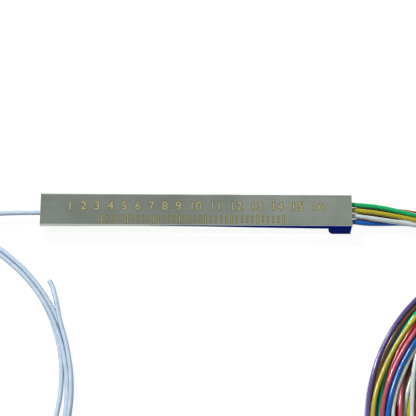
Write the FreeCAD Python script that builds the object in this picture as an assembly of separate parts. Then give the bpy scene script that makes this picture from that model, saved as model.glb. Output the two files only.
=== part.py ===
"""A 1 by 8 planar lightwave splitter in a slim steel tube, with a white input lead and eight coloured output leads."""

import FreeCAD, Part
import math
import os

from FreeCAD import Vector

# ---- Driving dimensions, in millimetres -------------------------------------------------------
# Housing tube: X is its length, Y its width, Z its height. It lies on its wide side.
tube_length = 60.0
tube_width = 7.0
tube_height = 4.0
tube_wall = 0.35
tube_corner_radius = 0.6

# End plugs pressed into the tube
plug_length = 3.2
plug_recess = 0.25
plug_clearance = 0.02
plug_lead_in = 0.15

# Leads: a loose tube over one fibre
lead_diameter = 0.9
lead_bore_clearance = 0.04
lead_inside_plug = 0.8
lead_straight_outside = 3.5
lead_pitch = 1.19
lead_row_gap = 1.06
lead_row_stagger = 0.35

# Fibres between the leads and the chip
coated_fibre_diameter = 0.24
glass_fibre_diameter = 0.125
fibre_straight_at_block = 2.2
fibre_straight_at_lead = 2.0

# Splitter chip: a waveguide tree on a glass-like substrate
splitting_stages = 3
channel_pitch = 0.25
chip_length = 12.0
chip_width = 2.6
chip_thickness = 1.0
waveguide_width = 0.05
waveguide_height = 0.02
waveguide_stub = 0.9
crotch_share = 0.3
chip_lid_length = 2.4
chip_lid_thickness = 1.0

# Fibre arrays: grooved blocks that hold the fibres against the chip
input_block_length = 5.5
output_block_length = 7.5
block_width = 3.2
block_lid_share = 0.55
block_lid_thickness = 1.0
groove_half_angle = 30.0
groove_clearance = 0.004
shelf_clearance = 0.01
chip_offset = -1.0

# Soft adhesive under the blocks, and beads over the fibres behind them
pad_thickness = 0.5
pad_inset = 0.3
bead_height = 0.45
bead_clearance = 0.03

# Coils: height of each and radius of its rounded edges
input_coil_height = 1.9
input_coil_round = 0.6
output_coil_height = 4.6
output_coil_round = 1.4

# ---- Routes of the cords, in millimetres ------------------------------------------------------
# Each list goes on from the two points that a lead's bore gives. X is counted from the tube's end.
# The output leads run side by side, so one list gives the middle of their lower row at each point,
# with the angle across the row, in degrees, and the gap from lead to lead.
INPUT_ROUTE = ((-9.5, -0.7, 1.5), (-16.5, -7.8, 1.0))
OUTPUT_ROUTE = (
    ((13.0, -1.2, 1.2), 79.0, 0.97),
    ((22.5, -3.9, 0.5), 68.0, 0.95),
    ((30.5, -9.0, 0.5), 45.0, 0.95),
    ((34.5, -17.0, 0.7), 28.0, 0.94),
)
output_row_gap = 0.95
UPPER_ROW = ("green", "yellow", "white", "blue")
LOWER_ROW = ("red", "violet", "brown", "pink")
ARC_SHARE = 0.45

# A coil's outline is a closed egg of four tangent arcs. Its turns are the angles of the outward
# normal, in degrees, at which one arc hands over to the next. The outer radii of the first two arcs
# are given, with the ring's width inside each, and the other two follow, because the egg has to
# close. The centre is the first arc's own, with X counted from the tube's end.
INPUT_COIL = {
    "turns": (-25.0, 56.0, 170.0, 200.0),
    "centre": (-26.82, -34.97),
    "outer_radii": (34.1, 9.0),
    "ring_widths": (2.9, 2.6),
}
OUTPUT_COIL = {
    "turns": (127.0, 184.0, 270.0, 380.0),
    "centre": (35.33, -41.32),
    "outer_radii": (34.0, 14.5),
    "ring_widths": (11.0, 7.6),
}


# ---- Geometry helpers -------------------------------------------------------------------------
def box_between(low, high):
    """A box from its lowest corner to its highest."""
    size = [b - a for a, b in zip(low, high)]
    return Part.makeBox(*size, Vector(*low))


def rounded_bar(x_low, x_high, width, height, z_centre, radius):
    """A bar along X with a rounded-rectangle section, centred on Y = 0."""
    low = (x_low, -width / 2, z_centre - height / 2)
    high = (x_high, width / 2, z_centre + height / 2)
    bar = box_between(low, high)
    along = [e for e in bar.Edges if abs(e.tangentAt(e.FirstParameter).x) > 0.99]
    return bar.makeFillet(radius, along)


def prism(points, direction):
    """A solid from a closed flat outline and the way it is pushed."""
    outline = Part.makePolygon([*points, points[0]])
    return Part.Face(outline).extrude(direction)


def cord_path(points, name):
    """Straight runs joined by tangent arcs, each as large as the two runs beside it allow."""
    points = [Vector(*p) for p in points]
    start = points[0]
    edges = []
    radii = []
    for before, corner, after in zip(points, points[1:], points[2:]):
        run_in = corner - before
        run_out = after - corner
        cut = ARC_SHARE * min(run_in.Length, run_out.Length)
        turn = run_in.getAngle(run_out)
        radii.append(round(cut / math.tan(turn / 2), 1))
        into = corner - run_in.normalize() * cut
        out = corner + run_out.normalize() * cut
        bisector = (into + out) * 0.5 - corner
        radius = cut / math.tan(turn / 2)
        centre = corner + bisector.normalize() * math.hypot(cut, radius)
        middle = centre + (corner - centre).normalize() * radius
        edges.append(Part.LineSegment(start, into).toShape())
        edges.append(Part.Arc(into, middle, out).toShape())
        start = out
    edges.append(Part.LineSegment(start, points[-1]).toShape())
    print(name, "arc radii", radii, "length", round(sum(e.Length for e in edges), 2))
    return Part.Wire(edges)


def cord(points, diameter, name):
    """A round cord along its path."""
    path = cord_path(points, name)
    start = Vector(*points[0])
    heading = Vector(*points[1]) - start
    ring = Part.Wire(Part.makeCircle(diameter / 2, start, heading))
    solid = path.makePipeShell([ring], True, False)
    expected = path.Length * math.pi * diameter**2 / 4
    if abs(solid.Volume / expected - 1) > 0.01:
        print(name, "volume is", round(solid.Volume, 3), "and should be", round(expected, 3))
    return solid


def normal(angle):
    """The flat unit vector at an angle in degrees."""
    return Vector(math.cos(math.radians(angle)), math.sin(math.radians(angle)), 0)


def egg_arcs(turns, centre, radii):
    """The four arcs of an egg, as (centre, radius, first angle, last angle)."""
    turns = [*turns, turns[0] + 360]
    steps = [normal(b) - normal(a) for a, b in zip(turns, turns[1:])]
    rest = steps[0] * -radii[0] - steps[1] * radii[1]
    det = steps[2].x * steps[3].y - steps[2].y * steps[3].x
    third = (rest.x * steps[3].y - rest.y * steps[3].x) / det
    fourth = (steps[2].x * rest.y - steps[2].y * rest.x) / det
    radii = (*radii, third, fourth)
    centre = Vector(*centre, 0)
    arcs = []
    for k, radius in enumerate(radii):
        arcs.append((centre, radius, turns[k], turns[k + 1]))
        next_radius = radii[(k + 1) % 4]
        centre = centre + normal(turns[k + 1]) * (radius - next_radius)
    return arcs


def egg_face(turns, centre, radii):
    """The flat face inside an egg."""
    edges = []
    for middle, radius, first, last in egg_arcs(turns, centre, radii):
        on_arc = [middle + normal(a) * radius for a in (first, (first + last) / 2, last)]
        edges.append(Part.Arc(*on_arc).toShape())
    return Part.Face(Part.Wire(edges))


def coil(shape, tube_end, height, edge_round):
    """The outer form of a loose coil that lies flat: an egg-shaped ring with rounded edges."""
    side = 1 if shape["centre"][0] > 0 else -1
    centre = (side * tube_end + shape["centre"][0], shape["centre"][1])
    outer_radii = shape["outer_radii"]
    inner_radii = [r - w for r, w in zip(outer_radii, shape["ring_widths"])]
    outer = egg_face(shape["turns"], centre, outer_radii).extrude(Vector(0, 0, height))
    inner = egg_face(shape["turns"], centre, inner_radii).extrude(Vector(0, 0, height))
    ring = outer.cut(inner)
    upper = [e for e in ring.Edges if e.BoundBox.ZMin > height - 0.001]
    return ring.makeFillet(edge_round, upper)


# ---- Places worked out from the driving dimensions --------------------------------------------
tube_end = tube_length / 2
middle_height = tube_height / 2
cavity_width = tube_width - 2 * tube_wall
cavity_height = tube_height - 2 * tube_wall
cavity_corner_radius = tube_corner_radius - tube_wall
plug_outer_face = tube_end - plug_recess
plug_inner_face = plug_outer_face - plug_length
lead_inner_end = plug_inner_face - lead_inside_plug
block_bottom = tube_wall + pad_thickness
light_plane = block_bottom + chip_thickness
chip_start = chip_offset - chip_length / 2
chip_stop = chip_offset + chip_length / 2
channels = 2**splitting_stages
lead_radius = lead_diameter / 2
coating_radius = coated_fibre_diameter / 2
glass_radius = glass_fibre_diameter / 2


def channel_place(number):
    """The Y of one channel at the chip's output, counted from +Y."""
    return ((channels - 1) / 2 - number) * channel_pitch


def output_bores():
    """Y and Z of each output lead's bore in its plug, by colour."""
    bores = {}
    for column, (upper, lower) in enumerate(zip(UPPER_ROW, LOWER_ROW)):
        y = ((len(UPPER_ROW) - 1) / 2 - column) * lead_pitch
        bores[upper] = (y, middle_height + lead_row_gap / 2)
        bores[lower] = (y + lead_row_stagger, middle_height - lead_row_gap / 2)
    return bores


# ---- Housing ----------------------------------------------------------------------------------
def steel_tube():
    """Flat rectangular tube with rounded corners, open at both ends."""
    ends = (-tube_end, tube_end)
    outer = rounded_bar(*ends, tube_width, tube_height, middle_height, tube_corner_radius)
    cavity = rounded_bar(*ends, cavity_width, cavity_height, middle_height, cavity_corner_radius)
    return outer.cut(cavity)


def end_plug(side, bores):
    """Rubber plug in one end of the tube, with a bore for each lead and a tapered inner end."""
    width = cavity_width - 2 * plug_clearance
    height = cavity_height - 2 * plug_clearance
    ends = (plug_inner_face, plug_outer_face)
    plug = rounded_bar(*ends, width, height, middle_height, cavity_corner_radius)
    rim = [e for e in plug.Edges if e.BoundBox.XMax < plug_inner_face + 0.001]
    plug = plug.makeChamfer(plug_lead_in, rim)
    radius = lead_radius + lead_bore_clearance / 2
    for y, z in bores:
        start = Vector(plug_inner_face, y, z)
        plug = plug.cut(Part.makeCylinder(radius, plug_length, start, Vector(1, 0, 0)))
    if side < 0:
        plug = plug.mirror(Vector(0, 0, 0), Vector(1, 0, 0))
    return plug


# ---- Chip -------------------------------------------------------------------------------------
def branch(x_low, x_high, y, spread):
    """One Y-shaped split of a waveguide: two S-bends that leave one guide and run parallel again."""
    half = waveguide_width / 2
    middle = (x_low + x_high) / 2
    crotch = x_low + (x_high - x_low) * crotch_share

    def bend(start, stop):
        poles = [start, Vector(middle, start.y, 0), Vector(middle, stop.y, 0), stop]
        curve = Part.BezierCurve()
        curve.setPoles(poles)
        return curve.toShape()

    low, high = y - spread, y + spread
    corners = [
        Vector(x_low, y + half, 0),
        Vector(x_high, high + half, 0),
        Vector(x_high, high - half, 0),
        Vector(crotch, y, 0),
        Vector(x_high, low + half, 0),
        Vector(x_high, low - half, 0),
        Vector(x_low, y - half, 0),
    ]
    edges = [
        bend(corners[0], corners[1]),
        Part.makeLine(corners[1], corners[2]),
        bend(corners[2], corners[3]),
        bend(corners[3], corners[4]),
        Part.makeLine(corners[4], corners[5]),
        bend(corners[5], corners[6]),
        Part.makeLine(corners[6], corners[0]),
    ]
    face = Part.Face(Part.Wire(edges))
    return face.extrude(Vector(0, 0, waveguide_height))


def waveguide_tree():
    """The raised guides: one at the input, split in two at each stage, ending at the channels."""
    tree_start = chip_start + waveguide_stub
    stage_length = (chip_length - 2 * waveguide_stub) / splitting_stages
    half = waveguide_width / 2
    pieces = [box_between((chip_start, -half, 0), (tree_start, half, waveguide_height))]
    for stage in range(splitting_stages):
        x = tree_start + stage * stage_length
        count = 2**stage
        gap = channels / count * channel_pitch
        for k in range(count):
            y = ((count - 1) / 2 - k) * gap
            pieces.append(branch(x, x + stage_length, y, gap / 4))
    for number in range(channels):
        y = channel_place(number)
        low = (chip_stop - waveguide_stub, y - half, 0)
        pieces.append(box_between(low, (chip_stop, y + half, waveguide_height)))
    tree = pieces[0].multiFuse(pieces[1:])
    tree.translate(Vector(0, 0, light_plane))
    return tree


def plc_chip():
    """Chip substrate with the waveguide tree standing on its upper face."""
    low = (chip_start, -chip_width / 2, block_bottom)
    substrate = box_between(low, (chip_stop, chip_width / 2, light_plane))
    return substrate.fuse(waveguide_tree())


def chip_lid(x_low):
    """Glass strip over the guides at one end of the chip, for a wider polished face."""
    bottom = light_plane + waveguide_height
    low = (x_low, -chip_width / 2, bottom)
    return box_between(low, (x_low + chip_lid_length, chip_width / 2, bottom + chip_lid_thickness))


# ---- Fibre arrays -----------------------------------------------------------------------------
def groove_cutter(x_low, x_high, y):
    """A V-shaped bar along X whose sides touch a glass fibre that lies with its axis on the light plane."""
    tip = (glass_radius + groove_clearance) / math.sin(math.radians(groove_half_angle))
    over = glass_radius
    half = (tip + over) * math.tan(math.radians(groove_half_angle))
    points = [
        Vector(x_low, y, light_plane - tip),
        Vector(x_low, y + half, light_plane + over),
        Vector(x_low, y - half, light_plane + over),
    ]
    return prism(points, Vector(x_high - x_low, 0, 0))


def array_block(x_chip, x_rear, places):
    """Grooved block: V-grooves beside the chip, and behind them a lower shelf for the coated fibres."""
    low_x, high_x = sorted((x_chip, x_rear))
    block = box_between((low_x, -block_width / 2, block_bottom), (high_x, block_width / 2, light_plane))
    x_step = x_chip + (x_rear - x_chip) * block_lid_share
    for y in places:
        block = block.cut(groove_cutter(*sorted((x_chip, x_step)), y))
    shelf_top = light_plane - coating_radius - shelf_clearance
    shelf_low, shelf_high = sorted((x_step, x_rear))
    above_shelf = (shelf_high, block_width / 2, light_plane)
    return block.cut(box_between((shelf_low, -block_width / 2, shelf_top), above_shelf))


def array_lid(x_chip, x_rear):
    """Glass lid that presses the fibres into the grooves."""
    bottom = light_plane + glass_radius + groove_clearance
    low_x, high_x = sorted((x_chip, x_chip + (x_rear - x_chip) * block_lid_share))
    high = (high_x, block_width / 2, bottom + block_lid_thickness)
    return box_between((low_x, -block_width / 2, bottom), high)


def glue_bead(x_chip, x_rear, places):
    """Adhesive over the coated fibres on the shelf, with its upper edges rounded."""
    x_step = x_chip + (x_rear - x_chip) * block_lid_share
    toward_rear = 1 if x_rear > x_chip else -1
    low_x, high_x = sorted((x_step + toward_rear * bead_clearance, x_rear))
    shelf_top = light_plane - coating_radius - shelf_clearance
    bead_top = light_plane + coating_radius + bead_height
    half = block_width / 2 - pad_inset
    bead = box_between((low_x, -half, shelf_top), (high_x, half, bead_top))
    upper = [e for e in bead.Edges if e.BoundBox.ZMin > bead_top - 0.001]
    bead = bead.makeFillet(bead_height / 2, upper)
    slot_half = max(places) + coating_radius + bead_clearance
    slot_top = light_plane + coating_radius + bead_clearance
    return bead.cut(box_between((low_x, -slot_half, shelf_top), (high_x, slot_half, slot_top)))


def soft_pad(x_low, x_high):
    """Soft adhesive between the tube's floor and a block."""
    half = block_width / 2 - pad_inset
    low = (x_low + pad_inset, -half, tube_wall)
    pad = box_between(low, (x_high - pad_inset, half, block_bottom))
    upright = [e for e in pad.Edges if abs(e.tangentAt(e.FirstParameter).z) > 0.99]
    return pad.makeFillet(pad_inset, upright)


# ---- Fibres and leads -------------------------------------------------------------------------
def fibre(name, x_chip, x_rear, channel_y, lead_x, lead_y, lead_z):
    """One fibre: bare glass in its groove, then coated as far as the end of its lead."""
    x_step = x_chip + (x_rear - x_chip) * block_lid_share
    way = 1 if x_rear > x_chip else -1
    route = (
        (x_step, channel_y, light_plane),
        (x_rear + way * fibre_straight_at_block, channel_y, light_plane),
        (lead_x - way * fibre_straight_at_lead, lead_y, lead_z),
        (lead_x, lead_y, lead_z),
    )
    coated = cord(route, coated_fibre_diameter, name)
    start = Vector(x_chip, channel_y, light_plane)
    glass = Part.makeCylinder(glass_radius, abs(x_step - x_chip), start, Vector(way, 0, 0))
    return glass.fuse(coated)


def bore_points(side, y, z):
    """The first two points of a lead: where its jacket ends inside, and a little way outside."""
    return ((side * lead_inner_end, y, z), (side * (tube_end + lead_straight_outside), y, z))


def input_lead(input_coil):
    """White lead from inside the input plug to the input coil."""
    points = [*bore_points(-1, 0, middle_height)]
    points += [(-tube_end + x, y, z) for x, y, z in INPUT_ROUTE]
    return cord(points, lead_diameter, "input_lead").cut(input_coil)


def output_lead(colour, output_coil):
    """One coloured lead from inside the output plug to the output coil."""
    points = [*bore_points(1, *output_bores()[colour])]
    row = LOWER_ROW if colour in LOWER_ROW else UPPER_ROW
    lane = (len(row) - 1) / 2 - row.index(colour)
    rise = 0 if row is LOWER_ROW else output_row_gap
    for (x, y, z), across, gap in OUTPUT_ROUTE:
        points.append(Vector(tube_end + x, y, z + rise) + normal(across) * lane * gap)
    return cord(points, lead_diameter, colour + "_lead").cut(output_coil)


# ---- Assembly ---------------------------------------------------------------------------------
def build():
    """Every sub-part, by node name."""
    parts = {}
    input_rear = chip_start - input_block_length
    output_rear = chip_stop + output_block_length
    places = [channel_place(k) for k in range(channels)]
    bores = output_bores()

    parts["steel_tube"] = steel_tube()
    parts["input_plug"] = end_plug(-1, [(0, middle_height)])
    parts["output_plug"] = end_plug(1, list(bores.values()))

    parts["plc_chip"] = plc_chip()
    parts["chip_input_lid"] = chip_lid(chip_start)
    parts["chip_output_lid"] = chip_lid(chip_stop - chip_lid_length)

    parts["input_block"] = array_block(chip_start, input_rear, [0])
    parts["input_block_lid"] = array_lid(chip_start, input_rear)
    parts["input_glue_bead"] = glue_bead(chip_start, input_rear, [0])
    parts["input_pad"] = soft_pad(input_rear, chip_start)

    parts["output_block"] = array_block(chip_stop, output_rear, places)
    parts["output_block_lid"] = array_lid(chip_stop, output_rear)
    parts["output_glue_bead"] = glue_bead(chip_stop, output_rear, places)
    parts["output_pad"] = soft_pad(chip_stop, output_rear)

    parts["input_fibre"] = fibre(
        "input_fibre", chip_start, input_rear, 0, -lead_inner_end, 0, middle_height
    )
    for column, pair in enumerate(zip(UPPER_ROW, LOWER_ROW)):
        for row, colour in enumerate(pair):
            name = colour + "_fibre"
            channel_y = channel_place(2 * column + 1 - row)
            y, z = bores[colour]
            parts[name] = fibre(name, chip_stop, output_rear, channel_y, lead_inner_end, y, z)

    parts["input_coil"] = coil(INPUT_COIL, tube_end, input_coil_height, input_coil_round)
    parts["output_coil"] = coil(OUTPUT_COIL, tube_end, output_coil_height, output_coil_round)
    parts["input_lead"] = input_lead(parts["input_coil"])
    for colour in (*UPPER_ROW, *LOWER_ROW):
        parts[colour + "_lead"] = output_lead(colour, parts["output_coil"])
    return parts


def export(parts):
    """Write one STEP file for each node."""
    os.makedirs("parts", exist_ok=True)
    for name, shape in parts.items():
        solids = len(shape.Solids)
        if solids != 1 or not shape.isValid():
            print("CHECK", name, "solids", solids, "valid", shape.isValid())
        shape.Solids[0].exportStep("parts/" + name + ".step")


export(build())
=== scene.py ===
"""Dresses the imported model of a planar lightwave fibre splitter.

A slim brushed steel tube holds the splitter chip. One white lead goes in at the left and eight
coloured leads come out at the right, and every lead ends in a loose coil on the floor.
"""

import math

import bmesh
import bpy
import numpy as np
from bpy.props import FloatProperty, FloatVectorProperty, IntProperty, PointerProperty
from mathutils import Matrix, Vector


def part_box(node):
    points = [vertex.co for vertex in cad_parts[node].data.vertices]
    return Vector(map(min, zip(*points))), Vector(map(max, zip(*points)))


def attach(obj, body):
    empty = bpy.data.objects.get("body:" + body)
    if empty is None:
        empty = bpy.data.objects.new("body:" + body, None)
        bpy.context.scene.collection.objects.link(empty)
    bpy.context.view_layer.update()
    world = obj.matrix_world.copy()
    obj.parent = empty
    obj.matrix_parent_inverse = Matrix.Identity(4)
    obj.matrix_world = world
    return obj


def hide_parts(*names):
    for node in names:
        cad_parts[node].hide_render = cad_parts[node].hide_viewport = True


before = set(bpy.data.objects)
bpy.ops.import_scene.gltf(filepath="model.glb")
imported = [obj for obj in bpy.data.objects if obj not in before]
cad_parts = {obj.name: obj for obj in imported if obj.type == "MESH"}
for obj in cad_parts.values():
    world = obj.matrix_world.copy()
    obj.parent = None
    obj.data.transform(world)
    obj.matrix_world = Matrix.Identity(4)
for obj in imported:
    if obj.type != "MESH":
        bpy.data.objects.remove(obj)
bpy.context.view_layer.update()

bl_info = {
    "name": "Fibre splitter",
    "version": (1, 0, 0),
    "blender": (4, 5, 0),
    "location": "3D View > Sidebar > Splitter",
    "description": "Finishes a slim tube fibre splitter with its marks, fibres and coiled leads",
    "category": "Object",
}

MM = 0.001
TUBE_LOW, TUBE_HIGH = (np.array(corner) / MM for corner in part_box("steel_tube"))
TUBE_END = TUBE_HIGH[0]
TUBE_TOP = TUBE_HIGH[2]
MIDDLE_HEIGHT = TUBE_TOP / 2
TUBE_CORNER = 0.6
# Steel: the size of its soft clouds of tone, the neutral that its brushed lines vary, the stretch of
# those lines along the tube, their depth, and how far below the top the marked face's tone starts
# and is full
CLOUD = 5.0 * MM
GREY = (0.96, 0.96, 0.96, 1.0)
LINE_STRETCH = (0.012, 1.0, 1.0)
LINE_DEPTH = 0.004 * MM
FACE_STARTS = 0.3
FACE_FULL = 0.1
# Jackets: the size and the depth of their faint waves
WAVE = 1.2 * MM
WAVE_DEPTH = 0.001 * MM
# The darkest and the lightest tone of each pattern, as shares of its colour
CLOUD_TONES = (0.9, 1.1)
LINE_TONES = (0.94, 1.04)
WAVE_TONES = (0.88, 1.06)
# Painted shade and reflection: a navy sheet on the near edge, which starts thin and widens towards its block
# at the tube's end.
# Distances down the tube's profile start where the flat top ends.
PAINTED_SHADE_START = -9.0
PAINTED_SHADE_TOP = 0.26
PAINTED_SHADE_WIDTHS = (0.05, 0.66)
BLOCK_START = 25.4
BLOCK_CORNER = 1.6
BLOCK_BOTTOM = 4.2
PAINTED_SHADE_DEPTH = 0.03
PAINTED_SHADE_END_GAP = 0.15
# The sheet's thickness is this share of its depth, so its back lies within the steel.
PAINTED_SHADE_THICKNESS = 1.5
# Its rows along the strip, round the block's corner, where they start at a share of it, and along
# the block, and its columns down the profile
STRIP_ROWS = 40
CORNER_ROWS = 16
CORNER_FIRST = 0.02
BLOCK_ROWS = 6
PAINTED_SHADE_COLUMNS = 25

# Marks: a row of plain numbers over a scale of strokes, and a capital's share of its font's size
NUMBERS = 16
NUMERAL = 1.75
CAP_SHARE = 0.73
NUMBER_ENDS = (-24.3, 24.0)
NUMBER_ROW = 0.85
STROKES = 36
SCALE_ENDS = (-18.2, 16.8)
SCALE_ROW = -1.7
# Every fifth stroke is long. Strokes are shares of a numeral's size.
STROKE_GROUP = 5
LONG_STROKE = 0.8
SHORT_STROKE = 0.55
# How far each layer's outline is let out, and how far it stands above the steel. At some offsets
# Blender leaves a hole in the fill of 3, 6, 8 or 9. At these two every figure is whole.
HALO_OFFSET = 0.135
HALO_TOP = 0.006
LINE_OFFSET = -0.01
LINE_TOP = 0.012

# ---- Leads, in millimetres ----------------------------------------------------------------------
# Where each lead's bore puts its first two points, the same as in the part's source.
BORE_INNER_END = 25.75
BORE_STRAIGHT_END = TUBE_END + 3.5
BORE_LEAVE = 0.6
BORES = {
    "green": (1.785, 2.53),
    "yellow": (0.595, 2.53),
    "white": (-0.595, 2.53),
    "blue": (-1.785, 2.53),
    "red": (2.135, 1.47),
    "violet": (0.945, 1.47),
    "brown": (-0.245, 1.47),
    "pink": (-1.435, 1.47),
}
COLOURS = tuple(BORES)
# The bundle's middle at each route point, with X from the tube's end, and the angle across it.
BUNDLE_ROUTE = (
    ((2.4, 0.0, 1.9), 88.0),
    ((5.4, -0.35, 1.9), 86.0),
    ((12.6, -0.95, 1.3), 80.0),
    ((22.5, -3.9, 1.0), 68.0),
    ((30.5, -9.0, 1.0), 45.0),
    ((34.5, -17.0, 1.1), 28.0),
)
# Each lead's place in the bundle at those points: how far it lies across and above the middle.
BUNDLE_PLACES = {
    "green": ((1.6, 0.62), (1.72, 0.58), (0.65, 0.9), (1.2, 0.45), (1.42, 0.45), (1.42, 0.45)),
    "yellow": ((0.42, 0.62), (0.44, 0.6), (-0.25, 0.9), (0.3, 0.5), (0.47, 0.5), (0.47, 0.5)),
    "white": ((-0.78, 0.62), (-0.9, 0.58), (-1.2, 0.9), (-0.6, 0.5), (-0.47, 0.5), (-0.47, 0.5)),
    "blue": ((-1.95, 0.2), (-1.42, -0.5), (-0.6, 0.1), (-1.5, 0.45), (-1.42, 0.45), (-1.42, 0.45)),
    "red": ((2.2, -1.0), (1.97, -1.4), (1.75, -0.3), (1.7, -0.45), (1.42, -0.45), (1.42, -0.45)),
    "violet": ((1.44, -0.5), (1.44, -0.7), (0.75, -0.72), (0.75, -0.45), (0.47, -0.45), (0.47, -0.45)),
    "brown": ((0.24, -0.5), (0.27, -0.9), (0.4, 0.1), (-0.2, -0.45), (-0.47, -0.45), (-0.47, -0.45)),
    "pink": ((-0.93, -0.55), (-0.95, -1.4), (-0.2, -0.72), (-1.15, -0.45), (-1.42, -0.45), (-1.42, -0.45)),
}
INPUT_ROUTE = ((-12.0, -0.35, 1.75), (-17.2, -8.2, 1.0))

# ---- Coils, in millimetres ----------------------------------------------------------------------
# A coil's outline is a closed egg of four tangent arcs, as in the part's source: the angles of the
# outward normal at which one arc hands over to the next, the first arc's centre and two radii.
OUTPUT_COIL = {
    "turns": (127.0, 184.0, 270.0, 380.0),
    "centre": (TUBE_END + 35.33, -41.32),
    "outer_radii": (34.0, 14.5),
    "inner_radii": (23.0, 6.2),
}
INPUT_COIL = {
    "turns": (-25.0, 56.0, 170.0, 200.0),
    "centre": (-TUBE_END - 26.82, -34.97),
    "outer_radii": (34.1, 9.0),
    "inner_radii": (31.2, 6.4),
}
# A coil has this many stations in each turn. A winding starts at an angle of the outward normal.
STATIONS = 36
OUTPUT_TURNS = 5
OUTPUT_START = 30.0
INPUT_TURNS = 4
INPUT_START = 165.0
INPUT_LAST = 10
COIL_TOP = 4.55
# One round of settling: how far a strand sinks, what share of the way it moves towards its
# neighbours and its aim where it is held and where it is free, and then how often strands are
# pushed apart and what share of the missing distance one push gives to each
SINK = 0.003
EVEN_HELD = 0.05
EVEN_FREE = 0.3
AIM_HELD = 0.5
AIM_FREE = 0.05
PUSHES = 3
PUSH = 0.45
# Keeps the distance between two centres at one place from being nothing
TINY = 1e-9
# Where the coloured strands lie beside the tube's end, turn by turn of each lead: the distance in
# from the coil's outer edge and the height of the strand's middle. A strand that shows there has
# both at five angles of the outward normal, and one that lies under others has one of each.
STRAND_ANGLES = (180.0, 170.0, 160.0, 150.0, 140.0)
STRANDS = {
    "violet": (
        (9.15, 0.46),
        (10.5, 1.25),
        (4.2, 1.4),
        ((0.45, 0.45, 0.45, 0.42, 0.38), (2.05, 2.05, 2.05, 2.05, 2.05)),
    ),
    "brown": (
        (10.05, 0.46),
        (10.3, 2.85),
        ((6.43, 6.5, 6.75, 6.75, 6.75), (0.46, 0.46, 0.46, 0.46, 0.46)),
        ((0.9, 1.0, 1.22, 1.22, 1.22), (1.3, 1.4, 1.62, 1.65, 1.6)),
    ),
    "yellow": (
        (4.1, 0.46),
        ((8.75, 8.85, 8.95, 8.95, 8.95), (1.3, 1.3, 1.3, 1.3, 1.3)),
        ((8.18, 8.3, 8.5, 8.55, 8.55), (0.46, 0.46, 0.46, 0.46, 0.46)),
        ((1.15, 1.5, 2.2, 2.55, 2.65), (2.4, 2.2, 2.15, 2.2, 2.45)),
    ),
    "green": (
        (3.25, 0.46),
        (5.0, 1.2),
        ((10.1, 10.1, 10.1, 10.1, 10.1), (3.6, 3.6, 3.6, 3.6, 3.6)),
        ((2.75, 2.55, 2.65, 2.3, 1.95), (0.95, 1.05, 1.1, 1.25, 1.45)),
    ),
    "red": (
        (2.35, 0.46),
        (9.65, 2.15),
        ((5.55, 5.5, 4.97, 4.97, 4.97), (0.46, 0.46, 0.46, 0.46, 0.46)),
        ((3.6, 3.4, 3.45, 3.4, 3.4), (1.25, 1.25, 1.5, 1.9, 2.05)),
    ),
    "pink": (
        (1.45, 0.46),
        (10.5, 2.1),
        ((6.6, 6.4, 5.87, 5.85, 5.85), (2.0, 1.7, 0.5, 0.46, 0.46)),
        ((3.0, 3.3, 3.8, 4.15, 4.25), (2.2, 2.2, 2.3, 2.3, 2.4)),
    ),
    "blue": (
        (0.5, 0.46),
        (9.6, 1.25),
        ((2.1, 1.95, 1.85, 1.78, 1.75), (1.65, 0.85, 0.95, 1.2, 1.1)),
        ((4.0, 4.4, 4.85, 5.2, 5.35), (2.2, 2.15, 2.15, 2.15, 2.15)),
    ),
    "white": (
        (0.5, 1.25),
        ((8.9, 8.65, 7.65, 6.6, 6.4), (2.3, 2.35, 2.3, 2.2, 2.2)),
        ((7.33, 7.4, 7.62, 7.65, 7.65), (0.46, 0.46, 0.46, 0.46, 0.46)),
        ((4.9, 5.1, 5.5, 5.85, 6.1), (1.7, 1.55, 1.5, 1.5, 1.5)),
    ),
}
# The input lead's four turns at its coil's own five angles, and its free end, which leaves the coil
# outwards: points with X from the tube's end.
INPUT_STRAND_ANGLES = (-15.0, 0.0, 15.0, 30.0, 45.0)
INPUT_STRANDS = (
    ((2.95, 2.6, 1.8, 1.35, 0.9), (0.46, 0.46, 0.46, 0.46, 0.46)),
    ((0.3, 0.4, 0.5, 0.5, 0.45), (0.46, 0.46, 0.46, 0.46, 1.24)),
    ((0.85, 0.95, 1.3, 1.35, 1.35), (1.2, 1.2, 1.2, 1.3, 1.24)),
    ((0.3, 0.4, 0.46, 0.46, 0.46), (1.9, 1.7, 1.35, 1.3, 1.3)),
)
INPUT_FREE_END = (
    (4.2, -21.3, 1.25),
    (3.74, -18.8, 1.25),
    (3.1, -16.2, 1.0),
    (2.56, -14.4, 0.75),
    (1.95, -13.4, 0.65),
)


# ---- Settings -----------------------------------------------------------------------------------
def colour_property(name, description, code):
    """A colour setting whose default is an sRGB hex value."""
    return FloatVectorProperty(
        name=name,
        description=description,
        subtype="COLOR",
        size=3,
        min=0,
        max=1,
        default=linear(code)[:3],
    )


def linear(code):
    """An sRGB hex value as linear red, green, blue and alpha."""
    channels = [int(code[k:k + 2], 16) / 255 for k in (1, 3, 5)]
    bright = [c / 12.92 if c <= 0.04045 else ((c + 0.055) / 1.055) ** 2.4 for c in channels]
    return (*bright, 1.0)


class SplitterHousingSettings(bpy.types.PropertyGroup):
    """Sizes and colours of the steel tube, its marks and its plugs."""

    steel: colour_property("Steel", "Colour of the brushed stainless steel", "#E8F7E8")
    sides: colour_property("Sides", "Colour of the tube's bare sides", "#F8FCF8")
    # The navy sheet on the near wall is painted shade and reflection.
    painted_shade: colour_property("Painted_shade", "Colour of the lacquer on the near wall", "#00197C")
    mark: colour_property("Marks", "Colour of the laser marks", "#A29A4C")
    mark_line: colour_property("Mark lines", "Colour of the line within the marks", "#F0ECCC")
    grain: FloatProperty(
        name="Grain", description="Width of one brushed line", default=0.1 * MM, unit="LENGTH", precision=5
    )


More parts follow.
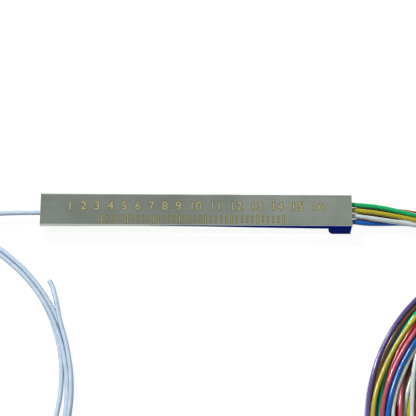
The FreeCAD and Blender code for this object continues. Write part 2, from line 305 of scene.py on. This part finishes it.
class SplitterLeadSettings(bpy.types.PropertyGroup):
    """Size and colours of the leads."""

    diameter: FloatProperty(
        name="Diameter",
        description="Outer diameter of a lead's jacket",
        default=0.9 * MM,
        unit="LENGTH",
        precision=5,
    )
    length: FloatProperty(
        name="Length", description="Length of each lead from the tube's end", default=0.5, unit="LENGTH"
    )
    rounds: IntProperty(name="Settling rounds", description="How long the turns settle", default=500, min=1)
    natural: colour_property("Input lead", "Colour of the input lead's jacket", "#FAFFF2")
    skin: colour_property("Input lead's skin", "Tint of the clear layer on the input lead", "#CEDDF2")
    green: colour_property("Green lead", "Colour of the green jacket", "#00B46A")
    yellow: colour_property("Yellow lead", "Colour of the yellow jacket", "#B5AB28")
    white: colour_property("White lead", "Colour of the white jacket", "#CBD6D2")
    blue: colour_property("Blue lead", "Colour of the blue jacket", "#0065BF")
    red: colour_property("Red lead", "Colour of the red jacket", "#A61820")
    violet: colour_property("Violet lead", "Colour of the violet jacket", "#604F91")
    brown: colour_property("Brown lead", "Colour of the brown jacket", "#694630")
    pink: colour_property("Pink lead", "Colour of the pink jacket", "#B84A60")


class SplitterStageSettings(bpy.types.PropertyGroup):
    """Floor, light and camera."""

    floor: colour_property("Floor", "Colour of the floor", "#F4F4F4")
    floor_size: FloatProperty(name="Floor size", description="Side of the floor", default=2.0, unit="LENGTH")
    lamp_power: FloatProperty(
        name="Lamps", description="Power of a lamp whose share is 1", default=1.0, unit="POWER"
    )
    distance: FloatProperty(name="Distance", description="Camera to tube", default=0.3, unit="LENGTH")
    elevation: FloatProperty(
        name="Elevation",
        description="How far the camera looks down",
        default=math.radians(69),
        unit="ROTATION",
    )


# ---- Meshes and curves --------------------------------------------------------------------------
def link(piece, material):
    """Put a finished piece into the scene, on the only body, with its finish."""
    bpy.context.scene.collection.objects.link(piece)
    piece.data.materials.append(material)
    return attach(piece, "root")


def grid_mesh(name, points, smooth=True):
    """A mesh over a grid of points, rows by columns, with quads between neighbours.

    Corner (i, j) of the grid is vertex i * columns + j, and each quad joins (i, j), (i, j + 1),
    (i + 1, j + 1) and (i + 1, j).
    """
    rows, columns = points.shape[:2]
    row = np.arange(rows - 1)[:, None] * columns
    after = row + columns
    j = np.arange(columns - 1)[None, :]
    quads = np.stack([row + j, row + j + 1, after + j + 1, after + j], -1)
    mesh = bpy.data.meshes.new(name)
    mesh.from_pydata(points.reshape(-1, 3), [], quads.reshape(-1, 4))
    mesh.shade_smooth() if smooth else mesh.shade_flat()
    return mesh


def cord_curve(name, points, diameter):
    """One open quadratic NURBS spline with a round section, through the middle of a lead."""
    curve = bpy.data.curves.new(name, "CURVE")
    curve.dimensions = "3D"
    spline = curve.splines.new("NURBS")
    spline.points.add(len(points) - 1)
    spline.points.foreach_set("co", np.c_[points, np.ones(len(points))].ravel())
    spline.order_u = 3
    spline.use_endpoint_u = True
    spline.use_smooth = True
    curve.resolution_u = 8
    curve.bevel_depth = diameter / 2
    curve.bevel_resolution = 4
    curve.use_fill_caps = True
    return bpy.data.objects.new(name, curve)


# ---- Coils --------------------------------------------------------------------------------------
def unit(angles):
    """Flat unit vectors at angles in degrees."""
    radians = np.radians(angles)
    return np.stack([np.cos(radians), np.sin(radians)], -1)


def egg(coil, radii, angles):
    """Points of an egg of four tangent arcs at which its outward normal has the given angles.

    The first two radii are given. The other two make the four steps along the arcs, each a radius
    times the change of normal, add up to nothing, so the egg closes. Returns the points and the
    radius of the arc at each.
    """
    turns = np.array([*coil["turns"], coil["turns"][0] + 360])
    steps = np.diff(unit(turns), axis=0)
    rest = -radii[0] * steps[0] - radii[1] * steps[1]
    radii = np.array([*radii, *np.linalg.solve(steps[2:].T, rest)])
    shifts = unit(turns[1:4]) * (radii[:3] - radii[1:])[:, None]
    centres = np.cumsum([coil["centre"], *shifts], axis=0)
    arc = np.searchsorted(turns[1:4], (angles - turns[0]) % 360 + turns[0], side="right")
    return centres[arc] + unit(angles) * radii[arc][:, None], radii[arc]


def ring_width(coil, angles):
    """How wide the coil's ring is across its turns at each angle of the outward normal."""
    outer = egg(coil, coil["outer_radii"], angles)[0]
    inner = egg(coil, coil["inner_radii"], angles)[0]
    return np.sum((outer - inner) * unit(angles), -1)


def coil_points(coil, angles, inset, height):
    """Control points of a strand, from its distance in from the outer edge and its height.

    A point lies between the outer and the inner egg, at the share of the ring's width that its
    distance makes. A quadratic spline runs inside its control points by 1 - cos(half a step) of
    the radius, so each point is moved out by as much.
    """
    outer, outer_radius = egg(coil, coil["outer_radii"], angles)
    inner, inner_radius = egg(coil, coil["inner_radii"], angles)
    share = inset / ring_width(coil, angles)
    flat = outer + (inner - outer) * share[:, None]
    radius = outer_radius + (inner_radius - outer_radius) * share
    spread = 1 / math.cos(math.pi / STATIONS) - 1
    flat = flat + unit(angles) * (radius * spread)[:, None]
    return np.c_[flat, height]


def strand_aims(coil, angles, way, keys, rows):
    """The distance in and the height that each station of one lead aims for, and which are held.

    keys are the angles at which each turn's row of the table holds. The angles run one way without
    a jump, and between one turn's last key and the next turn's first the aim moves evenly.
    """
    at = np.concatenate([np.array(keys) + way * 360 * turn for turn in range(len(rows))])
    inset = np.concatenate([np.broadcast_to(row[0], len(keys)) for row in rows])
    height = np.concatenate([np.broadcast_to(row[1], len(keys)) for row in rows])
    held = np.repeat([np.ndim(row[0]) > 0 for row in rows], len(keys))
    share = ring_width(coil, angles) / ring_width(coil, np.array([keys[2]]))
    place = angles * way
    inset = np.interp(place, at * way, inset) * share
    height = np.interp(place, at * way, height)
    near = np.abs(angles[:, None] - at[held][None, :]).min(1) < 360 / STATIONS / 2
    return np.stack([inset, height], -1), near


def settle(aims, held, alive, widths, diameter, rounds):
    """Move the strands' centres apart in each cross-section of a coil until none overlap.

    aims holds, for each lead and each station along it, the distance in and the height. In every
    round two centres nearer than a diameter are pushed apart by what is missing, each point moves a
    little towards the mean of its neighbours along the lead and towards its aim, firmly where it is
    held, and none goes under the floor, too high, or out of the ring where it doesn't aim there.
    """
    leads, count = aims.shape[:2]
    turns = count // STATIONS
    radius = diameter / 2
    places = aims.copy()
    low = np.minimum(aims[..., 0], radius)
    high = np.maximum(aims[..., 0], widths - radius)
    by_station = (leads, turns, STATIONS)
    both = alive.reshape(by_station).transpose(2, 0, 1).reshape(STATIONS, -1)
    both = both[:, :, None] & both[:, None, :]
    both &= ~np.eye(leads * turns, dtype=bool)
    for step in range(rounds):
        left = 1 - step / rounds
        middle = (places[:, :-2] + places[:, 2:]) / 2
        even = np.where(held[:, 1:-1, None], EVEN_HELD, EVEN_FREE)
        places[:, 1:-1] += even * (middle - places[:, 1:-1])
        places += np.where(held[..., None], AIM_HELD, AIM_FREE * left) * (aims - places)
        places[..., 1] -= SINK
        for _ in range(PUSHES):
            flat = places.reshape(*by_station, 2).transpose(2, 0, 1, 3).reshape(STATIONS, -1, 2)
            apart = flat[:, :, None] - flat[:, None, :]
            distance = np.sqrt((apart**2).sum(-1) + TINY)
            missing = np.where(both, np.clip(diameter - distance, 0, None), 0)
            flat = flat + PUSH * (apart / distance[..., None] * missing[..., None]).sum(2)
            places = flat.reshape(STATIONS, leads, turns, 2).transpose(1, 2, 0, 3)
            places = places.reshape(leads, count, 2)
            places[..., 0] = np.clip(places[..., 0], low, high)
            places[..., 1] = np.clip(places[..., 1], radius, COIL_TOP - radius)
    return places


# ---- Materials ----------------------------------------------------------------------------------
# Where in the noise a pattern's darkest and lightest tones lie, and a plain mottle's depth
RAMP = (0.3, 0.7)
MOTTLE_DEPTH = 0.01 * MM


def add_node(tree, kind, values=None, links=None, **settings):
    """Add a node with its settings, its sockets' values and its incoming links."""
    node = tree.nodes.new(kind)
    for name, value in settings.items():
        setattr(node, name, value)
    for name, value in (values or {}).items():
        node.inputs[name].default_value = value
    for name, socket in (links or {}).items():
        tree.links.new(socket, node.inputs[name])
    return node


def new_material(name, values):
    """A material with one Principled shader, and its node tree and shader."""
    material = bpy.data.materials.new(name)
    material.use_nodes = True
    tree = material.node_tree
    tree.nodes.clear()
    shader = add_node(tree, "ShaderNodeBsdfPrincipled", values)
    add_node(tree, "ShaderNodeOutputMaterial", links={"Surface": shader.outputs["BSDF"]})
    return material, tree, shader


def mottle(tree, colour, tones, size, stretch=(1, 1, 1)):
    """Noise in object coordinates, its grains about size across, between two shares of a colour."""
    where = add_node(tree, "ShaderNodeTexCoord").outputs["Object"]
    where = add_node(tree, "ShaderNodeMapping", {"Scale": stretch}, {"Vector": where}).outputs["Vector"]
    values = {"Scale": 1 / size, "Detail": 3.0}
    noise = add_node(tree, "ShaderNodeTexNoise", values, {"Vector": where}).outputs["Fac"]
    ramp = add_node(tree, "ShaderNodeValToRGB", links={"Fac": noise})
    for end, position, tone in zip(ramp.color_ramp.elements, RAMP, tones):
        end.position = position
        end.color = shade(colour, tone)
    return ramp.outputs["Color"], noise


def shade(colour, factor):
    """A colour made darker or lighter."""
    return (*[min(1.0, c * factor) for c in colour[:3]], 1.0)


def add_bump(tree, shader, height, distance):
    """Bump from a height pattern, with its depth in metres."""
    values = {"Distance": distance, "Strength": 1.0}
    bump = add_node(tree, "ShaderNodeBump", values, {"Height": height})
    tree.links.new(bump.outputs["Normal"], shader.inputs["Normal"])


def jacket_material(name, colour, skin=None):
    """Extruded thermoplastic jacket: an even colour with a soft gloss and faint waves.

    A skin is a clear outer layer with a tint of its own, which deepens towards the jacket's edges.
    """
    material, tree, shader = new_material(name, {"Roughness": 0.14, "IOR": 1.5})
    if skin:
        shader.inputs["Coat Weight"].default_value = 1.0
        shader.inputs["Coat Roughness"].default_value = 0.15
        shader.inputs["Coat IOR"].default_value = 1.05
        shader.inputs["Coat Tint"].default_value = skin
    tone, noise = mottle(tree, colour, WAVE_TONES, WAVE)
    tree.links.new(tone, shader.inputs["Base Color"])
    add_bump(tree, shader, noise, WAVE_DEPTH)
    return material


def steel_material(settings):
    """Brushed stainless steel: fine lines along the tube, soft clouds of tone and a clear sheen.

    The sides are bare, without the marked face's greenish cast, so they mirror the floor nearly white.
    """
    material, tree, shader = new_material("brushed_stainless_steel", {"Metallic": 1.0, "Roughness": 0.1})
    clouds, _ = mottle(tree, settings.steel, CLOUD_TONES, CLOUD)
    lines, grain = mottle(tree, GREY, LINE_TONES, settings.grain, LINE_STRETCH)
    tone = add_node(tree, "ShaderNodeMix", {"Factor": 1.0}, data_type="RGBA", blend_type="MULTIPLY")
    tree.links.new(clouds, tone.inputs["A"])
    tree.links.new(lines, tone.inputs["B"])
    where = add_node(tree, "ShaderNodeTexCoord").outputs["Object"]
    height = add_node(tree, "ShaderNodeSeparateXYZ", links={"Vector": where}).outputs["Z"]
    face = {"From Min": (TUBE_TOP - FACE_STARTS) * MM, "From Max": (TUBE_TOP - FACE_FULL) * MM}
    on_face = add_node(tree, "ShaderNodeMapRange", face, {"Value": height})
    finish = add_node(tree, "ShaderNodeMix", data_type="RGBA")
    finish.inputs["A"].default_value = (*settings.sides, 1.0)
    tree.links.new(on_face.outputs["Result"], finish.inputs["Factor"])
    tree.links.new(tone.outputs["Result"], finish.inputs["B"])
    tree.links.new(finish.outputs["Result"], shader.inputs["Base Color"])
    add_bump(tree, shader, grain, LINE_DEPTH)
    return material


def plain_material(name, colour, size, values, contrast=0.08):
    """A moulded, cast or polished surface with a fine mottle of the given size and contrast."""
    material, tree, shader = new_material(name, values)
    tone, noise = mottle(tree, colour, (1 - contrast, 1 + contrast), size)
    tree.links.new(tone, shader.inputs["Base Color"])
    add_bump(tree, shader, noise, MOTTLE_DEPTH)
    return material


def dress(node, material):
    """Give a carried-over solid its finish."""
    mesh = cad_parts[node].data
    mesh.materials.clear()
    mesh.materials.append(material)


# ---- Operators ----------------------------------------------------------------------------------
def tube_side(down, proud):
    """Y and Z of points on the near side of the tube's profile, which lie proud of the steel.

    The profile is a quarter arc from the flat top, the flat wall, and a quarter arc to the flat
    bottom. down is the distance along it, and the turn of the outward normal grows along the arcs.
    """
    arc = TUBE_CORNER * math.pi / 2
    wall = TUBE_TOP - 2 * TUBE_CORNER
    turn = (np.clip(down, 0, arc) + np.clip(down - arc - wall, 0, arc)) / TUBE_CORNER
    drop = np.clip(down - arc, 0, wall)
    reach = TUBE_CORNER + proud
    y = TUBE_LOW[1] + TUBE_CORNER - reach * np.sin(turn)
    return y, TUBE_TOP - TUBE_CORNER - drop + reach * np.cos(turn)


def painted_shade_mesh():
    """The sheet of painted shade and reflection on the near wall: across it runs the tube's profile, from
    its upper to its lower limit.

    The lower limit moves away from the upper one evenly along the tube. At the block it drops by
    a quarter of an ellipse to the block's bottom.
    """
    along = np.concatenate([
        np.linspace(PAINTED_SHADE_START, BLOCK_START, STRIP_ROWS),
        BLOCK_START + BLOCK_CORNER * np.linspace(CORNER_FIRST, 1, CORNER_ROWS) ** 2,
        np.linspace(BLOCK_START + BLOCK_CORNER, TUBE_END - PAINTED_SHADE_END_GAP, BLOCK_ROWS)[1:],
    ])
    narrow = PAINTED_SHADE_TOP + np.interp(along, (PAINTED_SHADE_START, BLOCK_START), PAINTED_SHADE_WIDTHS)
    share = np.clip((along - BLOCK_START) / BLOCK_CORNER, 0, 1)
    bottom = narrow + (BLOCK_BOTTOM - narrow) * np.sqrt(1 - (1 - share) ** 2)
    across = np.linspace(0, 1, PAINTED_SHADE_COLUMNS)[None, :]
    down = PAINTED_SHADE_TOP + across * (bottom - PAINTED_SHADE_TOP)[:, None]
    y, z = tube_side(down, PAINTED_SHADE_DEPTH)
    x = np.broadcast_to(along[:, None], y.shape)
    return grid_mesh("painted_shade", np.stack([x, y, z], -1) * MM)


def mark_mesh(name, marks, bold, top):
    """Flat characters on the tube's top: each is made a mesh, scaled to its height and placed."""
    joined = bmesh.new()
    for body, x, y, height in marks:
        text = bpy.data.curves.new(name, "FONT")
        text.body = body
        text.align_x = "CENTER"
        text.size = height / CAP_SHARE
        text.offset = bold
        text.extrude = top
        mesh = bpy.data.meshes.new_from_object(bpy.data.objects.new(name, text))
        mesh.transform(Matrix.Translation((x, y - height / 2, TUBE_TOP)))
        joined.from_mesh(mesh)
    bmesh.ops.scale(joined, vec=(MM, MM, MM), verts=joined.verts)
    mesh = bpy.data.meshes.new(name)
    joined.to_mesh(mesh)
    joined.free()
    return mesh


def mark_rows():
    """The marks' characters, places and heights: a row of plain numbers over a scale of strokes."""
    digits = " ".join(str(number + 1) for number in range(NUMBERS))
    places = np.linspace(*NUMBER_ENDS, len(digits))
    rows = [(digit, x, NUMBER_ROW, NUMERAL) for digit, x in zip(digits, places) if digit != " "]
    for index, x in enumerate(np.linspace(*SCALE_ENDS, STROKES)):
        share = SHORT_STROKE if index % STROKE_GROUP else LONG_STROKE
        rows.append(("|", x, SCALE_ROW, NUMERAL * share))
    return rows


class SPLITTER_OT_housing(bpy.types.Operator):
    """Finish the steel tube and its two rubber plugs, and add the painted shade on its near wall and the
    marks
    """

    bl_idname = "splitter.housing"
    bl_label = "Steel tube and plugs"

    def execute(self, context):
        settings = context.scene.splitter_housing
        dress("steel_tube", steel_material(settings))
        # Moulded rubber: matt and nearly black, with a soft skin.
        rubber = plain_material("black_rubber", linear("#16171A"), 0.2 * MM, {"Roughness": 0.7})
        dress("input_plug", rubber)
        dress("output_plug", rubber)
        # Painted shade and reflection: a thin navy sheet on the near wall, deep in colour and nearly matt,
        # where the wall lies in shade.
        painted_shade_values = {"Roughness": 0.6, "Specular IOR Level": 0.01}
        painted_shade = plain_material("navy_painted_shade", (*settings.painted_shade, 1.0), 0.5 * MM, painted_shade_values)
        sheet = bpy.data.objects.new("painted_shade", painted_shade_mesh())
        link(sheet, painted_shade)
        shell = sheet.modifiers.new("thickness", "SOLIDIFY")
        shell.thickness = PAINTED_SHADE_THICKNESS * PAINTED_SHADE_DEPTH * MM
        shell.offset = -1.0
        # Laser-annealed steel: an oxide film that looks olive gold, with a paler line within it.
        film_values = {"Metallic": 0.8, "Roughness": 0.18}
        for name, colour, bold, top in (
            ("mark_halo", settings.mark, HALO_OFFSET, HALO_TOP),
            ("mark_line", settings.mark_line, LINE_OFFSET, LINE_TOP),
        ):
            film = plain_material(name, (*colour, 1.0), 0.3 * MM, film_values, contrast=0.12)
            marks = bpy.data.objects.new(name, mark_mesh(name, mark_rows(), bold, top))
            link(marks, film)
        return {"FINISHED"}


class SPLITTER_OT_optics(bpy.types.Operator):
    """Finish the chip, the glass blocks, the adhesive and the fibres inside the tube"""

    bl_idname = "splitter.optics"
    bl_label = "Chip, blocks and fibres"

    def execute(self, context):
        leads = context.scene.splitter_leads
        # Silica on a polished wafer: smooth and dark, with a faint violet tint.
        chip_values = {"Roughness": 0.12, "IOR": 1.46}
        dress("plc_chip", plain_material("polished_silica", linear("#5B5670"), 0.8 * MM, chip_values))
        # Polished borosilicate glass, ground at its edges.
        glass_values = {"Roughness": 0.15, "IOR": 1.47, "Transmission Weight": 0.6}
        glass = plain_material("optical_glass", linear("#DCE6E4"), 0.5 * MM, glass_values, contrast=0.03)
        # Cured clear adhesive: glossy, and slightly yellow where it is thick.
        adhesive = plain_material("clear_adhesive", linear("#E8E0C0"), 0.4 * MM, {"Roughness": 0.2})
        # Cast silicone: soft, milky and matt.
        silicone = plain_material("soft_silicone", linear("#D8DAD6"), 0.3 * MM, {"Roughness": 0.55})
        for end in ("input", "output"):
            dress(f"chip_{end}_lid", glass)
            dress(end + "_block", glass)
            dress(end + "_block_lid", glass)
            dress(end + "_glue_bead", adhesive)
            dress(end + "_pad", silicone)
        # Acrylate coating: thin, clear to tinted, and glossy.
        dress("input_fibre", jacket_material("natural_coating", (*leads.natural, 1.0)))
        for colour in COLOURS:
            coating = jacket_material(colour + "_coating", (*getattr(leads, colour), 1.0))
            dress(colour + "_fibre", coating)
        return {"FINISHED"}


class SPLITTER_OT_output_leads(bpy.types.Operator):
    """Lay the eight coloured leads and their loose coil"""

    bl_idname = "splitter.output_leads"
    bl_label = "Output leads"

    def execute(self, context):
        settings = context.scene.splitter_leads
        diameter = settings.diameter / MM
        step = 360 / STATIONS
        angles = OUTPUT_START - step * np.arange(OUTPUT_TURNS * STATIONS)
        widths = ring_width(OUTPUT_COIL, angles)
        runs = {colour: bundle_points(colour) for colour in COLOURS}
        aims = []
        held = []
        alive = []
        for colour in COLOURS:
            aim, firm = strand_aims(OUTPUT_COIL, angles + 360, -1, STRAND_ANGLES, STRANDS[colour])
            points = coil_points(OUTPUT_COIL, angles, aim[:, 0], aim[:, 1])
            spare = settings.length / MM - path_length(runs[colour][1:])
            along = np.cumsum(np.linalg.norm(np.diff(points, axis=0), axis=1))
            aims.append(aim)
            held.append(firm)
            alive.append(np.arange(len(angles)) <= np.searchsorted(along, spare))
        aims, held, alive = np.array(aims), np.array(held), np.array(alive)
        places = settle(aims, held, alive, widths, diameter, settings.rounds)
        for colour, inset, height, there in zip(COLOURS, places[..., 0], places[..., 1], alive):
            turned = coil_points(OUTPUT_COIL, angles, inset, height)[there]
            points = np.concatenate([runs[colour], turned]) * MM
            lead = cord_curve("lead_" + colour, points, settings.diameter)
            jacket = jacket_material(colour + "_jacket", (*getattr(settings, colour), 1.0))
            link(lead, jacket)
            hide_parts(colour + "_lead", "output_coil")
        return {"FINISHED"}


class SPLITTER_OT_input_lead(bpy.types.Operator):
    """Lay the white input lead and its loose coil"""

    bl_idname = "splitter.input_lead"
    bl_label = "Input lead"

    def execute(self, context):
        settings = context.scene.splitter_leads
        diameter = settings.diameter / MM
        step = 360 / STATIONS
        angles = INPUT_START + step * np.arange(INPUT_TURNS * STATIONS)
        widths = ring_width(INPUT_COIL, angles)
        run = [(-BORE_INNER_END, 0, MIDDLE_HEIGHT), (-BORE_STRAIGHT_END, 0, MIDDLE_HEIGHT)]
        run = np.array([*run, *[(x - TUBE_END, y, z) for x, y, z in INPUT_ROUTE]])
        aim, firm = strand_aims(INPUT_COIL, angles - 360, 1, INPUT_STRAND_ANGLES, INPUT_STRANDS)
        there = angles <= INPUT_LAST + 360 * INPUT_TURNS + step / 2
        places = settle(aim[None], firm[None], there[None], widths, diameter, settings.rounds)[0]
        turned = coil_points(INPUT_COIL, angles, places[:, 0], places[:, 1])[there]
        end = np.array([(x - TUBE_END, y, z) for x, y, z in INPUT_FREE_END])
        points = np.concatenate([run, turned, end]) * MM
        lead = cord_curve("lead_natural", points, settings.diameter)
        jacket = jacket_material("natural_jacket", (*settings.natural, 1.0), (*settings.skin, 1.0))
        link(lead, jacket)
        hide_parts("input_lead", "input_coil")
        return {"FINISHED"}


def path_length(points):
    """Length of the runs between points."""
    return np.linalg.norm(np.diff(points, axis=0), axis=1).sum()


def bundle_points(colour):
    """A coloured lead's points from inside its bore to the coil."""
    y, z = BORES[colour]
    points = [(BORE_INNER_END, y, z), (TUBE_END + BORE_LEAVE, y, z)]
    for ((x, middle_y, middle_z), across), (aside, above) in zip(BUNDLE_ROUTE, BUNDLE_PLACES[colour]):
        turn = math.radians(across)
        place_x = TUBE_END + x + aside * math.cos(turn)
        place_y = middle_y + aside * math.sin(turn)
        points.append((place_x, place_y, middle_z + above))
    return np.array(points)


# ---- Stage --------------------------------------------------------------------------------------
# How much of the floor's brightness is its own, and how bright that is
FLOOR_GLOW_SHARE = 0.85
FLOOR_GLOW = 1.09
# How far the floor lies under the part, so that nothing flickers where they touch
FLOOR_DROP = 0.01 * MM
# The plain light from all round, and what the gloss mirrors of the room: the heights, as shares of
# straight up, between which it goes from its low grey to its grey overhead
ROOM_LIGHT = 0.25
ROOM_HEIGHTS = (0.1, 0.75)
ROOM_GREYS = (0.75, 0.245)
# The camera's lens and sensor in millimetres, its shift as shares of the frame, and its roll
LENS = 134.9
SENSOR = 36.0
SHIFT = (0.0284, 0.0043)
ROLL = math.radians(0.3)
# The soft boxes' common target, and each one's name, place, side and share of the lamp power. The
# first two make the glints on the leads, right_box the sheen of the tube's right end, and front_box
# fills the shadows.
LAMP_TARGET = (0, -0.02, 0)
LAMPS = (
    ("left_box", (-0.331, 0.316, 0.504), 0.06, 2.7),
    ("rear_box", (-0.26, 0.38, 0.5), 0.06, 2.0),
    ("right_box", (0.26, 0.175, 0.55), 0.4, 0.035),
    ("front_box", (-0.15, -0.25, 0.58), 0.5, 0.25),
)


class SPLITTER_OT_stage(bpy.types.Operator):
    """Set up the floor, the light and the camera"""

    bl_idname = "splitter.stage"
    bl_label = "Stage"

    def execute(self, context):
        settings = context.scene.splitter_stage
        half = settings.floor_size / 2
        line = np.linspace(-half, half, 2)
        x, y = np.meshgrid(line, line, indexing="xy")
        corners = np.stack([x, y, 0 * x - FLOOR_DROP], -1)
        floor = bpy.data.objects.new("floor", grid_mesh("floor", corners, smooth=False))
        context.scene.collection.objects.link(floor)
        floor.data.materials.append(floor_material((*settings.floor, 1.0)))

        for name, place, size, power in LAMPS:
            lamp = bpy.data.lights.new(name, "AREA")
            lamp.shape = "SQUARE"
            lamp.size = size
            lamp.energy = settings.lamp_power * power
            box = bpy.data.objects.new(name, lamp)
            aim_at(box, Vector(place), Vector(LAMP_TARGET))
            context.scene.collection.objects.link(box)

        context.scene.world = studio_world()

        view = bpy.data.cameras.new("camera")
        view.sensor_width = SENSOR
        view.lens = LENS
        view.shift_x, view.shift_y = SHIFT
        view.clip_start = 0.01
        camera = bpy.data.objects.new("camera", view)
        target = Vector((0, 0, TUBE_TOP * MM))
        back = Vector((0, -math.cos(settings.elevation), math.sin(settings.elevation)))
        aim_at(camera, target + back * settings.distance, target, ROLL)
        context.scene.collection.objects.link(camera)
        context.scene.camera = camera
        context.scene.view_settings.view_transform = "Standard"
        return {"FINISHED"}


def aim_at(thing, place, target, roll=0.0):
    """Put a lamp or the camera at a place, looking at the target, turned about its own line of sight."""
    turn = (target - place).to_track_quat("-Z", "Y").to_matrix().to_4x4()
    thing.matrix_world = Matrix.Translation(place) @ turn @ Matrix.Rotation(roll, 4, "Z")


def studio_world():
    """Plain light from all round, white behind the object, and for gloss a room that darkens upwards."""
    world = bpy.data.worlds.new("studio")
    world.use_nodes = True
    tree = world.node_tree
    tree.nodes.clear()
    rays = add_node(tree, "ShaderNodeLightPath").outputs
    white = {"Color": linear("#FFFFFF")}
    plain = add_node(tree, "ShaderNodeBackground", {**white, "Strength": ROOM_LIGHT}).outputs[0]
    seen = add_node(tree, "ShaderNodeBackground", {**white, "Strength": 1.0}).outputs[0]
    where = add_node(tree, "ShaderNodeTexCoord").outputs["Generated"]
    height = add_node(tree, "ShaderNodeSeparateXYZ", links={"Vector": where}).outputs["Z"]
    values = dict(zip(("From Min", "From Max", "To Min", "To Max"), (*ROOM_HEIGHTS, *ROOM_GREYS)))
    grey = add_node(tree, "ShaderNodeMapRange", values, {"Value": height}, interpolation_type="SMOOTHSTEP")
    room = add_node(tree, "ShaderNodeBackground", white, {"Strength": grey.outputs["Result"]}).outputs[0]
    behind = either(tree, rays["Is Camera Ray"], rays["Is Transmission Ray"])
    mixed = add_node(tree, "ShaderNodeMixShader", links={0: behind, 1: plain, 2: seen}).outputs[0]
    links = {0: rays["Is Glossy Ray"], 1: mixed, 2: room}
    mixed = add_node(tree, "ShaderNodeMixShader", links=links).outputs[0]
    add_node(tree, "ShaderNodeOutputWorld", links={"Surface": mixed})
    return world


def either(tree, one, other):
    """The greater of two values."""
    return add_node(tree, "ShaderNodeMath", links={0: one, 1: other}, operation="MAXIMUM").outputs[0]


def floor_material(colour):
    """Matt white board, most of whose brightness behind the object is its own, so shadows stay faint."""
    material, tree, shader = new_material("white_board", {"Base Color": colour, "Roughness": 0.9})
    shader.inputs["Specular IOR Level"].default_value = 0.0
    rays = add_node(tree, "ShaderNodeLightPath").outputs
    seen = either(tree, rays["Is Camera Ray"], rays["Is Glossy Ray"])
    seen = either(tree, seen, rays["Is Transmission Ray"])
    share = add_node(tree, "ShaderNodeMath", {1: FLOOR_GLOW_SHARE}, {0: seen}, operation="MULTIPLY")
    glow = add_node(tree, "ShaderNodeEmission", {"Strength": FLOOR_GLOW})
    links = {0: share.outputs[0], 1: shader.outputs[0], 2: glow.outputs[0]}
    mixed = add_node(tree, "ShaderNodeMixShader", links=links)
    tree.links.new(mixed.outputs[0], tree.nodes["Material Output"].inputs["Surface"])
    return material


class SPLITTER_PT_panel(bpy.types.Panel):
    """Lists the steps that finish the splitter"""

    bl_idname = "SPLITTER_PT_panel"
    bl_label = "Fibre splitter"
    bl_space_type = "VIEW_3D"
    bl_region_type = "UI"
    bl_category = "Splitter"

    def draw(self, context):
        for group in GROUPS:
            for setting in GROUPS[group].__annotations__:
                self.layout.prop(getattr(context.scene, group), setting)
        for operator in OPERATORS:
            self.layout.operator(operator.bl_idname)


GROUPS = {
    "splitter_housing": SplitterHousingSettings,
    "splitter_leads": SplitterLeadSettings,
    "splitter_stage": SplitterStageSettings,
}
OPERATORS = (
    SPLITTER_OT_housing,
    SPLITTER_OT_optics,
    SPLITTER_OT_input_lead,
    SPLITTER_OT_output_leads,
    SPLITTER_OT_stage,
)


def register():
    """Register the classes and give the scene its settings."""
    for cls in (*GROUPS.values(), *OPERATORS, SPLITTER_PT_panel):
        bpy.utils.register_class(cls)
    for name, group in GROUPS.items():
        setattr(bpy.types.Scene, name, PointerProperty(type=group))


def unregister():
    """Take the settings and the classes away again."""
    for name in GROUPS:
        delattr(bpy.types.Scene, name)
    for cls in reversed((*GROUPS.values(), *OPERATORS, SPLITTER_PT_panel)):
        bpy.utils.unregister_class(cls)


def main():
    """Finish every piece in order."""
    register()
    bpy.ops.splitter.housing()
    bpy.ops.splitter.optics()
    bpy.ops.splitter.input_lead()
    bpy.ops.splitter.output_leads()
    bpy.ops.splitter.stage()


if __name__ == "__main__":
    main()
